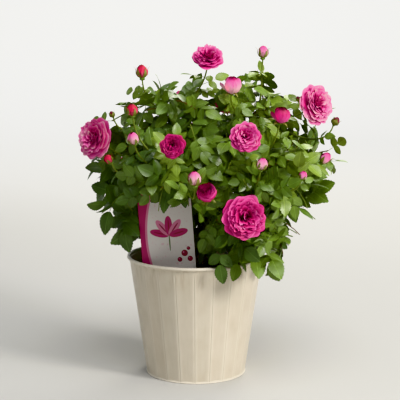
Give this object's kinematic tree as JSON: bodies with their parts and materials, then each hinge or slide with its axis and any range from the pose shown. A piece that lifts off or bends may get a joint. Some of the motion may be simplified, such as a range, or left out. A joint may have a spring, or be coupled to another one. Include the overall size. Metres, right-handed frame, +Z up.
{
  "type": "potted rose bush",
  "caption": "Small patio rose bush with pink blooms and buds, growing in a tapered metal pot of flats with a rolled rim, with a blank-style plant label card in the compost.",
  "frame": {"origin": "middle of the flat underside of the pot, where it stands", "axes": "+Z up, the front with the label card towards -Y, +X to the viewer's right"},
  "size_m": [0.5115, 0.4576, 0.6395],
  "materials": {
    "pot_enamel": "cream painted sheet metal, satin",
    "compost": "moist dark potting compost",
    "label_card": "printed card, semi-gloss",
    "old_wood": "rough grey-brown rose wood",
    "cane_bark": "green rose cane with thorns",
    "foliage": "glossy green leaves with pink flowers",
    "bloom": "soft pink petals"
  },
  "bodies": {
    "root": {"pot": "pot_enamel", "compost": "compost", "label_card": "label_card", "rootstock": "old_wood", "cane_low_1": "cane_bark", "cane_low_2": "cane_bark", "cane_low_3": "cane_bark", "cane_low_4": "cane_bark", "cane_low_5": "cane_bark", "cane_middle_1": "cane_bark", "cane_middle_2": "cane_bark", "cane_middle_3": "cane_bark", "cane_middle_4": "cane_bark", "cane_middle_5": "cane_bark", "cane_top_1": "cane_bark", "cane_top_2": "cane_bark", "foliage_low_1": "foliage", "foliage_low_2": "foliage", "foliage_low_3": "foliage", "foliage_low_4": "foliage", "foliage_low_5": "foliage", "foliage_middle_1": "foliage", "foliage_middle_2": "foliage", "foliage_middle_3": "foliage", "foliage_middle_4": "foliage", "foliage_middle_5": "foliage", "foliage_top_1": "foliage", "foliage_top_2": "foliage"}
  },
  "joints": []
}
